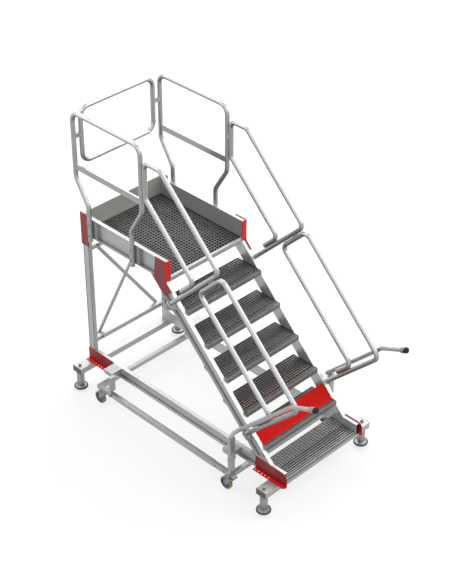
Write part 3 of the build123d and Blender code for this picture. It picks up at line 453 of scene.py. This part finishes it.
# Painted shade: two dark lines along the edges of each post.
post_low, post_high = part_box("rear_post_left")
for edge in (post_low.y + SHADE_LINE_FROM_FRONT, post_high.y - SHADE_LINE_FROM_REAR):
    along = coordinate("post_aluminium_shade_lines", "Y")
    second_tone("post_aluminium_shade_lines", along, edge, edge + SHADE_LINE, PAINTED_LINE_SHADE, 0.0, 0.6)
print("two-tone finishes ready")

# %% [markdown]
# A castor's running band is yellow only where it rolls. Its sides and the wheel are grey nylon.
# The distance from the axle tells them apart, so each tyre's finish is centred on its own axle.

# %% Tyre finishes
BAND_DEPTH, TYRE_SIDE = 0.0035, (0.21, 0.205, 0.265)
castors = [end + "_" + side for end in ("front", "rear") for side in ("left", "right")]


def tyre_finish(node):
    """A yellow band round one tyre, with grey sides."""
    name = node.replace("tyre", "running_band")
    tree = coat(name, (0.62, 0.40, 0.045), (0.52, 0.33, 0.035), 0.4, 500.0, 0.0002).node_tree
    low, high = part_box(node)
    back = tuple(-value for value in (low + high) / 2)
    from_axle = vector_math(tree, "ADD", object_place(tree), back).outputs[0]
    square_to_axle = vector_math(tree, "MULTIPLY", from_axle, (0, 1, 1)).outputs[0]
    out = vector_math(tree, "LENGTH", square_to_axle).outputs["Value"]
    second_tone(name, out, 0.0, (high.z - low.z) / 2 - BAND_DEPTH, TYRE_SIDE, 0.0, 0.42)
    return name


print("castors", castors)

# %% [markdown]
# The CAD pieces arrive in plain colours. This table says which finish each piece wears, and the
# loop puts that finish in the piece's material slot. The shape isn't touched.

# %% Give each CAD piece its finish
wearing = {
    "aluminium_across": ["foot_beam_front", "foot_beam_rear", "rear_ties", "platform_nosing",
                         "chassis_crossbars"],
    "toe_aluminium_painted_lit": ["rear_toe_board"],
    "rail_aluminium_painted_lit": ["base_rail_left", "base_rail_right"],
    "aluminium_along": ["side_panel_left", "side_panel_right", "chassis_bar_left", "chassis_bar_right"],
    "post_aluminium_shade_lines": ["rear_post_left", "rear_post_right"],
    "aluminium_upright": ["guardrail_pads"],
    "stringer_aluminium_painted_lit": ["stringer_left", "stringer_right"],
    "tube_aluminium_painted_shade": ["guardrail_left", "guardrail_right", "rear_gate", "handrail_lower_left",
                       "handrail_lower_right", "handrail_upper_left", "handrail_upper_right"],
    "plate_aluminium": ["rail_clamps", "handrail_brackets", "rear_brace_a", "rear_brace_b",
                        "pivot_brackets", "rear_links", "lever_left", "lever_right"],
    "zinc_plate": ["castor_plates"],
    "foot_metal": ["levelling_feet"],
    "blocker_red": ["step_blocker"],
    "red_coat_painted_lit_folds": ["rear_upper_gussets", "front_upper_gussets", "rear_lower_brackets",
                 "front_lower_brackets"],
    "cap_plastic": ["beam_end_caps"],
    "grip_rubber": ["lever_grips"],
    "tread_steel": ["tread_1", "tread_2", "tread_3", "tread_5", "bottom_step"],
    "tread_painted_red_reflection": ["tread_4"],
    "deck_steel": ["platform_deck"],
    "wheel_nylon": [],
}
for castor in castors:
    wearing["zinc_plate"].append("castor_fork_" + castor)
    wearing["wheel_nylon"].append("wheel_" + castor)
    wearing[tyre_finish("tyre_" + castor)] = ["tyre_" + castor]
for finish, nodes in wearing.items():
    for node in nodes:
        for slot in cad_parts[node].material_slots:
            slot.material = finishes[finish]
print("dressed", sum(len(nodes) for nodes in wearing.values()), "of", len(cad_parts))

# %% [markdown]
# A grating repeats one thin bar many times. Geometry Nodes make it from a line of points with a
# bar on each, and then copy that row onto every point of the seed mesh. The tree's inputs are the
# count, the first place, the step to the next one and the bar's size, so one tree serves the deck,
# the treads, their anti-slip teeth and the bottom step.

# %% Geometry Nodes helpers
def new_tree(name, inputs):
    """An empty geometry tree with a geometry input, named inputs and one output."""
    tree = bpy.data.node_groups.new(name, "GeometryNodeTree")
    tree.interface.new_socket("Geometry", in_out="INPUT", socket_type="NodeSocketGeometry")
    for label, kind in inputs.items():
        tree.interface.new_socket(label, in_out="INPUT", socket_type="NodeSocket" + kind)
    tree.interface.new_socket("Geometry", in_out="OUTPUT", socket_type="NodeSocketGeometry")
    return tree, tree.nodes.new("NodeGroupInput")


def put_on_points(tree, points, shape, **more):
    """One copy of a shape on each point."""
    values = {"Points": points, "Instance": shape, **more}
    return add_node(tree, "GeometryNodeInstanceOnPoints", values).outputs[0]


def end_tree(tree, entry, geometry):
    """Ends a tree in real geometry that wears the material given as an input."""
    real = add_node(tree, "GeometryNodeRealizeInstances", {0: geometry}).outputs[0]
    worn = add_node(tree, "GeometryNodeSetMaterial", {0: real, "Material": entry.outputs["Material"]})
    exit_node = tree.nodes.new("NodeGroupOutput")
    tree.links.new(worn.outputs[0], exit_node.inputs[0])
    return tree


def grow(name, tree, values, body, points, facing=None):
    """Runs a tree on a few points and keeps the result as a plain mesh that rides on a body."""
    seed = bpy.data.meshes.new(name + "_seed")
    seed.from_pydata([tuple(point) for point in points], [], [])
    if facing:
        aim = seed.attributes.new("facing", "FLOAT_VECTOR", "POINT")
        for number, way in enumerate(facing):
            aim.data[number].vector = way
    holder = bpy.data.objects.new(name + "_holder", seed)
    bpy.context.scene.collection.objects.link(holder)
    modifier = holder.modifiers.new("grow", "NODES")
    modifier.node_group = tree
    for socket in tree.interface.items_tree:
        if socket.in_out == "INPUT" and socket.name in values:
            modifier[socket.identifier] = values[socket.name]
    bpy.context.view_layer.update()
    graph = bpy.context.evaluated_depsgraph_get()
    mesh = bpy.data.meshes.new_from_object(holder.evaluated_get(graph))
    bpy.data.objects.remove(holder)
    mesh.name = name
    made = bpy.data.objects.new(name, mesh)
    bpy.context.scene.collection.objects.link(made)
    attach(made, body)
    mesh.calc_loop_triangles()
    print(name, len(mesh.loop_triangles), "triangles")
    return made


print("geometry helpers ready")


# %% The bar tree
def bar_tree():
    tree, entry = new_tree("rows_of_bars", {"Count": "Int", "Start": "Vector", "Step": "Vector",
                                            "Bar": "Vector", "Material": "Material"})
    given = entry.outputs
    places = {"Count": given["Count"], "Offset": given["Step"], "Start Location": given["Start"]}
    line = add_node(tree, "GeometryNodeMeshLine", places, mode="OFFSET").outputs[0]
    bar = add_node(tree, "GeometryNodeMeshCube", {"Size": given["Bar"]}).outputs[0]
    return end_tree(tree, entry, put_on_points(tree, given["Geometry"], put_on_points(tree, line, bar)))


bars = bar_tree()
ONCE = (0, 0, 0)


def bar_rows(name, seeds, count, start, step, bar, finish):
    """Bars in a row from each seed. Start, step and bar are in metres."""
    values = {"Count": count, "Start": start, "Step": step, "Bar": bar, "Material": finishes[finish]}
    return grow(name, bars, values, "frame", seeds)


def first_of(count, gap):
    """Where a row starts when its middle is at zero."""
    return -(count - 1) / 2 * gap


print("bar tree has", len(bars.nodes), "nodes")

# %% [markdown]
# The deck is an open mesh, about 30 mm apart both ways. The deep bars across the stair are in the
# CAD model. These are the bars that lock them and a paler edge along the top of each deep bar, both
# painted pale as a highlight on their lit tops. A narrow ledge runs along the toe board, a little
# above the deck.

# %% Deck mesh
MESH_GAP, MESH_COLUMNS = 0.030, 28
EDGE_WIDTH, EDGE_HEIGHT, EDGE_UP, EDGE_INSET = 0.0052, 0.0014, 0.0002, 0.0015
LOCKING_DEPTH, LOCKING_DOWN = 0.012, 0.0065
LEDGE_UP, LEDGE_FORWARD, LEDGE_DEPTH, LEDGE_HEIGHT = 0.030, 0.0012, 0.0030, 0.0045
END_GAP = 0.004

low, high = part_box("platform_deck")
deck_top = high.z
span = high - low
gap = span.x / MESH_COLUMNS
side_middle = (low.x, (low.y + high.y) / 2, deck_top)
bar_rows("deck_locking_bars", [side_middle], MESH_COLUMNS - 1, (gap, 0, -LOCKING_DOWN), (gap, 0, 0),
         (EDGE_WIDTH, span.y - END_GAP / 2, LOCKING_DEPTH), "deck_painted_lit_tops")
rows = round(span.y / MESH_GAP)
pitch = (span.y - 2 * EDGE_INSET) / rows
bar_rows("deck_bar_edges", [(0, low.y + EDGE_INSET, deck_top)], rows + 1, (0, 0, EDGE_UP),
         (0, pitch, 0), (span.x - END_GAP, EDGE_WIDTH, EDGE_HEIGHT), "deck_painted_lit_tops")
low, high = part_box("rear_toe_board")
bar_rows("toe_board_ledge", [(0, low.y, deck_top)], 1, (0, -LEDGE_FORWARD, LEDGE_UP), ONCE,
         (high.x - low.x - END_GAP, LEDGE_DEPTH, LEDGE_HEIGHT), "pale_zinc")

# %% [markdown]
# Each tread has a dark anti-slip strip on its nose with rows of short raised teeth, then paler
# strips along the tops of its bars, and fine wires across them. The teeth and the strips are pale
# as painted highlight on their lit tops. Behind the middle the wires stand closer.

# %% Tread details
PITCH, BARS, BAR = 0.022, 10, 0.003
STRIP_MIDDLE, STRIP_WIDTH, STRIP_HEIGHT = 0.0245, 0.037, 0.0008
TEETH, TOOTH_GAP, TOOTH = 53, 0.0147, (0.0085, 0.0034, 0.0014)
TOOTH_ROWS = (0.009, 0.022, 0.035)
WIRES, WIRE_GAP = 26, 0.030
FINE_WIRES, FINE_GAP, FINE_MIDDLE, FINE_SHARE = 78, 0.0102, 0.68, 0.62

noses = []
for number in range(1, 6):
    low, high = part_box("tread_" + str(number))
    noses.append((0, low.y, high.z))
half = high.x
inner = 2 * half - 0.008
grating = BARS * PITCH
bar_rows("nose_strips", noses, 1, (0, STRIP_MIDDLE, 0.0003), ONCE, (inner, STRIP_WIDTH, STRIP_HEIGHT),
         "dark_steel")
teeth = [(0, y + row, z) for x, y, z in noses for row in TOOTH_ROWS]
bar_rows("nose_teeth", teeth, TEETH, (first_of(TEETH, TOOTH_GAP), 0, 0.0013), (TOOTH_GAP, 0, 0), TOOTH,
         "steel_painted_lit_tops")
bar_rows("tread_bar_edges", noses, BARS, (0, NOSE + PITCH - BAR / 2, 0.0002), (0, PITCH, 0),
         (inner, 0.0050, 0.0012), "steel_painted_lit_tops")
bar_rows("tread_wires", noses, WIRES, (first_of(WIRES, WIRE_GAP), NOSE + grating / 2, -0.0045),
         (WIRE_GAP, 0, 0), (0.0025, grating, 0.008), "tread_steel")
bar_rows("tread_fine_wires", noses, FINE_WIRES,
         (first_of(FINE_WIRES, FINE_GAP), NOSE + grating * FINE_MIDDLE, -0.0040), (FINE_GAP, 0, 0),
         (0.0022, grating * FINE_SHARE, 0.006), "dark_steel")

# %% [markdown]
# The bottom step's strips are painted paler than the treads', as painted light, because the
# treads above it lie in shade. Its front bars have painted bright tops, and its rear half carries a
# close mesh of strands, painted pale in the same way.

# %% Bottom step details
RIBS, RIB_START, RIB_GAP = 3, 0.004, 0.019
STRANDS, STRAND_GAP, STRAND_MIDDLE, STRAND_SHARE = 30, 0.026, 0.70, 0.58

low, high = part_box("bottom_step")
step_nose = [(0, low.y, high.z)]
pitch = (high.y - low.y - NOSE) / BARS
bar_rows("bottom_nose_strip", step_nose, 1, (0, STRIP_MIDDLE, 0.0003), ONCE,
         (inner, STRIP_WIDTH, STRIP_HEIGHT), "dark_steel")
bar_rows("bottom_nose_ribs", step_nose, RIBS, (0, RIB_START, 0.0008), (0, RIB_GAP, 0),
         (inner, 0.0060, 0.0018), "bottom_steel_painted_lit")
bar_rows("bottom_bar_edges", step_nose, BARS, (0, NOSE + pitch - BAR / 2, 0.0004), (0, pitch, 0),
         (inner, 0.0060, 0.0016), "bottom_steel_painted_lit")
grating = BARS * pitch
bar_rows("bottom_mesh", step_nose, STRANDS,
         (first_of(STRANDS, STRAND_GAP), NOSE + grating * STRAND_MIDDLE, 0.0002), (STRAND_GAP, 0, 0),
         (0.0072, grating * STRAND_SHARE, 0.0030), "pale_zinc")

# %% [markdown]
# The end plates of the treads reach below the bars and show behind the stringers, with a rounded
# rear corner. Each is a plain outline given a thickness, repeated at both ends of the five treads.

# %% End plates of the treads
PLATE_START, PLATE_LENGTH, PLATE_DEPTH = 0.070, 0.263, 0.051
PLATE_CORNER, CORNER_STEPS, PLATE_SHEET = 0.026, 6, 0.003


def plate_outline():
    """Corners in Y and Z from the nose's top edge, clockwise round to the rounded rear corner."""
    points = [(PLATE_START, 0.0), (PLATE_LENGTH, 0.0)]
    along, up = PLATE_LENGTH - PLATE_CORNER, PLATE_CORNER - PLATE_DEPTH
    for step in range(CORNER_STEPS + 1):
        angle = step * math.pi / 2 / CORNER_STEPS
        points.append((along + PLATE_CORNER * math.cos(angle), up - PLATE_CORNER * math.sin(angle)))
    return points + [(PLATE_START, -PLATE_DEPTH)]


def end_plates():
    """Places and faces of a closed plate at each end of each tread."""
    places, faces = [], []
    outline = plate_outline()
    count = len(outline)
    for x, y, z in noses:
        for side in (-1, 1):
            first = len(places)
            for depth in (half - PLATE_SHEET, half):
                places += [(side * depth, y + along, z + up) for along, up in outline]
            inward = [first + a for a in range(count)]
            outward = [first + count + a for a in reversed(range(count))]
            shell = [inward, outward]
            for a in range(count):
                b = (a + 1) % count
                shell.append([first + a, first + count + a, first + count + b, first + b])
            faces += shell if side > 0 else [face[::-1] for face in shell]
    return places, faces


places, faces = end_plates()
mesh = bpy.data.meshes.new("tread_end_plates")
mesh.from_pydata(places, [], faces)
# The plates' pale zinc tone is painted light on plates that lie in the stringers' shade.
mesh.materials.append(finishes["pale_zinc"])
plates = bpy.data.objects.new("tread_end_plates", mesh)
bpy.context.scene.collection.objects.link(plates)
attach(plates, "frame")
print("end plates", len(mesh.polygons), "faces")

# %% [markdown]
# Bolts and threads are placed as in a drawing of the ladder, in millimetres. The drawing counts
# from the middle of the front feet and from under their pads, so one helper turns its places into
# Blender's metres.

# %% Places in the drawing
def drawn(x, y, z):
    """A place in the drawing's millimetres, counted from the middle of the front feet."""
    return Vector((x / 1000, front_feet + y / 1000, under_feet + z / 1000))


print("drawing starts at", drawn(0, 0, 0))

# %% [markdown]
# The ladder is bolted together. A bolt is a washer, a six-sided head and the chamfer on top. The
# tree puts one on each seed point and turns it to face along the point's own direction. Each part
# of the bolt has its share of the height, from the washer up.

# %% The bolt tree
WASHER_WIDE, CHAMFER_TOP = 1.45, 0.82


def bolt_tree():
    tree, entry = new_tree("hex_bolts", {"Radius": "Float", "Height": "Float", "Material": "Material"})
    size, rise = entry.outputs["Radius"], entry.outputs["Height"]

    def times(value, factor):
        return calculate(tree, "MULTIPLY", value, factor)

    def lifted(made, level):
        offset = add_node(tree, "ShaderNodeCombineXYZ", {"Z": times(rise, level)}).outputs[0]
        values = {0: made.outputs[0], "Translation": offset}
        return add_node(tree, "GeometryNodeTransform", values).outputs[0]

    washer = {"Vertices": 18, "Radius": times(size, WASHER_WIDE), "Depth": times(rise, 0.2)}
    head = {"Vertices": 6, "Radius": size, "Depth": times(rise, 0.65)}
    chamfer = {"Vertices": 6, "Radius Top": times(size, CHAMFER_TOP), "Radius Bottom": size,
               "Depth": times(rise, 0.15)}
    whole = add_node(tree, "GeometryNodeJoinGeometry")
    parts = (("Cylinder", washer, 0.1), ("Cylinder", head, 0.525), ("Cone", chamfer, 0.85))
    for kind, values, level in parts:
        made = add_node(tree, "GeometryNodeMesh" + kind, values)
        tree.links.new(lifted(made, level), whole.inputs[0])
    way = add_node(tree, "GeometryNodeInputNamedAttribute", {"Name": "facing"}, data_type="FLOAT_VECTOR")
    turn = add_node(tree, "FunctionNodeAlignRotationToVector", {"Vector": way.outputs[0]}, axis="Z")
    placed = put_on_points(tree, entry.outputs["Geometry"], whole.outputs[0], Rotation=turn.outputs[0])
    return end_tree(tree, entry, placed)


hex_bolts = bolt_tree()


def bolts(name, body, size, rows, mirror=True):
    """Bolts at places in the drawing's millimetres, each with its direction, on both sides."""
    radius, height = size
    points, ways = [], []
    for x, y, z, way in rows:
        for side in ((1, -1) if mirror else (1,)):
            points.append(drawn(side * x, y, z))
            ways.append((side * way[0], way[1], way[2]))
    values = {"Radius": radius / 1000, "Height": height / 1000, "Material": finishes["bolt_steel"]}
    return grow(name, hex_bolts, values, body, points, ways)


print("bolt tree has", len(hex_bolts.nodes), "nodes")

# %% [markdown]
# The crossed bars are held by a nut in front of each tie and a bolt head behind, and one bolt
# joins them in the middle. The guardrails' legs, the handrails' brackets and the clamps have
# bolts on their outer sides. Both sides are alike, so one list serves them.

# %% Bolts on the ladder
OUT, BACK, FRONT, UP = (1, 0, 0), (0, 1, 0), (0, -1, 0), (0, 0, 1)
LARGE, MEDIUM, SMALL, SCREW = (7.5, 6), (6.5, 5), (5.5, 5), (4.5, 3)  # radius and height
BRACE_X, BRACE_LOW, BRACE_HIGH = 330, 415, 1340
TIE_FRONT, BRACE_A_REAR, BRACE_B_REAR = 2133, 2185, 2197
LEG_SIDE, LEG_PLACES, LEG_HEIGHTS = 473.2, (1560, 2062), (1525, 1622)
BRACKET_SIDE, POST_STARTS, SEAT_BELOW, BRACKET_HOLES = 439, (395, 1548), 40, (-28, -80)
CLAMP_SIDE, CLAMP_ON_GUARDRAIL, CLAMP_ON_HANDRAIL = 466.3, (1405.5, 2330), (1526.5, 560)
CLAMP_ON_GATE = (414, 2184, 2370)
SLOPE_BASE = 265.3


def on_slope(along, out):
    """Y and Z on the stringer's side, counted along its slope and square to it, in millimetres."""
    return ((along - out) / math.sqrt(2), SLOPE_BASE + (along + out) / math.sqrt(2))


bolts("brace_nuts", "frame", LARGE, [(BRACE_X, TIE_FRONT, z, FRONT) for z in (BRACE_LOW, BRACE_HIGH)])
bolts("brace_bolts_a", "frame", LARGE, [(BRACE_X, BRACE_A_REAR, BRACE_LOW, BACK),
                                        (-BRACE_X, BRACE_A_REAR, BRACE_HIGH, BACK)], mirror=False)
bolts("brace_bolts_b", "frame", LARGE, [(-BRACE_X, BRACE_B_REAR, BRACE_LOW, BACK),
                                        (BRACE_X, BRACE_B_REAR, BRACE_HIGH, BACK)], mirror=False)
brace_middle = (BRACE_LOW + BRACE_HIGH) / 2
bolts("brace_centre_bolt", "frame", LARGE, [(0, BRACE_B_REAR, brace_middle, BACK)], mirror=False)
legs = [(LEG_SIDE, y, z, OUT) for y in LEG_PLACES for z in LEG_HEIGHTS]
bolts("guardrail_bolts", "frame", MEDIUM, legs)
seats = [(BRACKET_SIDE, *on_slope(start - SEAT_BELOW, out), OUT) for start in POST_STARTS
         for out in BRACKET_HOLES]
bolts("handrail_bolts", "frame", MEDIUM, seats)
clamps = [(CLAMP_SIDE, *CLAMP_ON_GUARDRAIL, OUT), (*CLAMP_ON_GATE, FRONT),
          (CLAMP_SIDE, *on_slope(*CLAMP_ON_HANDRAIL), OUT)]
bolts("clamp_bolts", "frame", SMALL, clamps)
print("ladder bolts ready")

# %% [markdown]
# The chassis moves, so its bolts are meshes of their own that ride on it: the set screws of the
# telescoping ends and four bolts on each castor's plate.

# %% Bolts on the lifting gear
BAR_SIDE, BAR_X, BAR_Z, PLATE_TOP = 589, 570, 138, 118
SLEEVE_SCREWS, CROSSBAR_SCREW = (514, 419), (401, 334)
STEMS, HOLE_X, HOLE_Y = (353, 1857), 25, 33

bolts("chassis_screws", "chassis", SCREW, [(BAR_SIDE, y, BAR_Z, OUT) for y in SLEEVE_SCREWS])
bolts("crossbar_screws", "chassis", SCREW, [(*CROSSBAR_SCREW, BAR_Z, FRONT)])
holes = [(BAR_X + x, stem + y, PLATE_TOP, UP) for stem in STEMS for x in (-HOLE_X, HOLE_X)
         for y in (-HOLE_Y, HOLE_Y)]
bolts("castor_plate_bolts", "chassis", SMALL, holes)

# %% [markdown]
# Every castor has an axle nut on each side. They turn with the fork, so each fork has its own
# mesh of nuts.

# %% Castor nuts
NUT_RADIUS, NUT_HEIGHT = 0.0095, 0.004

for castor in castors:
    low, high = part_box("castor_fork_" + castor)
    axle = middle("wheel_" + castor)
    points = [(low.x + NUT_HEIGHT, axle.y, axle.z), (high.x - NUT_HEIGHT, axle.y, axle.z)]
    values = {"Radius": NUT_RADIUS, "Height": NUT_HEIGHT, "Material": finishes["bolt_steel"]}
    ways = [(-1, 0, 0), OUT]
    grow("castor_nuts_" + castor, hex_bolts, values, "castor_" + castor, points, ways)

# %% [markdown]
# The top of each levelling spindle stands out of its nut and shows its thread. A thread is a
# spiral curve with a small round section, swept into a mesh.

# %% Spindle threads
THREAD_RADIUS, THREAD_HEIGHT, THREAD_TURNS, THREAD_SECTION = 0.0088, 0.0108, 5.0, 0.0008
SPINDLE_X, SPINDLE_PLACES, SPINDLE_BASE = 569, (0, 2168), 224


def thread_tree():
    tree, entry = new_tree("spindle_thread", {"Radius": "Float", "Height": "Float", "Turns": "Float",
                                              "Material": "Material"})
    given = entry.outputs
    shape = {"Resolution": 20, "Rotations": given["Turns"], "Start Radius": given["Radius"],
             "End Radius": given["Radius"], "Height": given["Height"]}
    spiral = add_node(tree, "GeometryNodeCurveSpiral", shape)
    wire = {"Resolution": 6, "Radius": THREAD_SECTION}
    section = add_node(tree, "GeometryNodeCurvePrimitiveCircle", wire)
    ridge = add_node(tree, "GeometryNodeCurveToMesh", {0: spiral.outputs[0], 1: section.outputs[0],
                                                       "Fill Caps": True})
    return end_tree(tree, entry, put_on_points(tree, given["Geometry"], ridge.outputs[0]))


spindles = [drawn(side * SPINDLE_X, y, SPINDLE_BASE) for side in (-1, 1) for y in SPINDLE_PLACES]
thread = {"Radius": THREAD_RADIUS, "Height": THREAD_HEIGHT, "Turns": THREAD_TURNS,
          "Material": finishes["bolt_steel"]}
grow("spindle_threads", thread_tree(), thread, "frame", spindles)
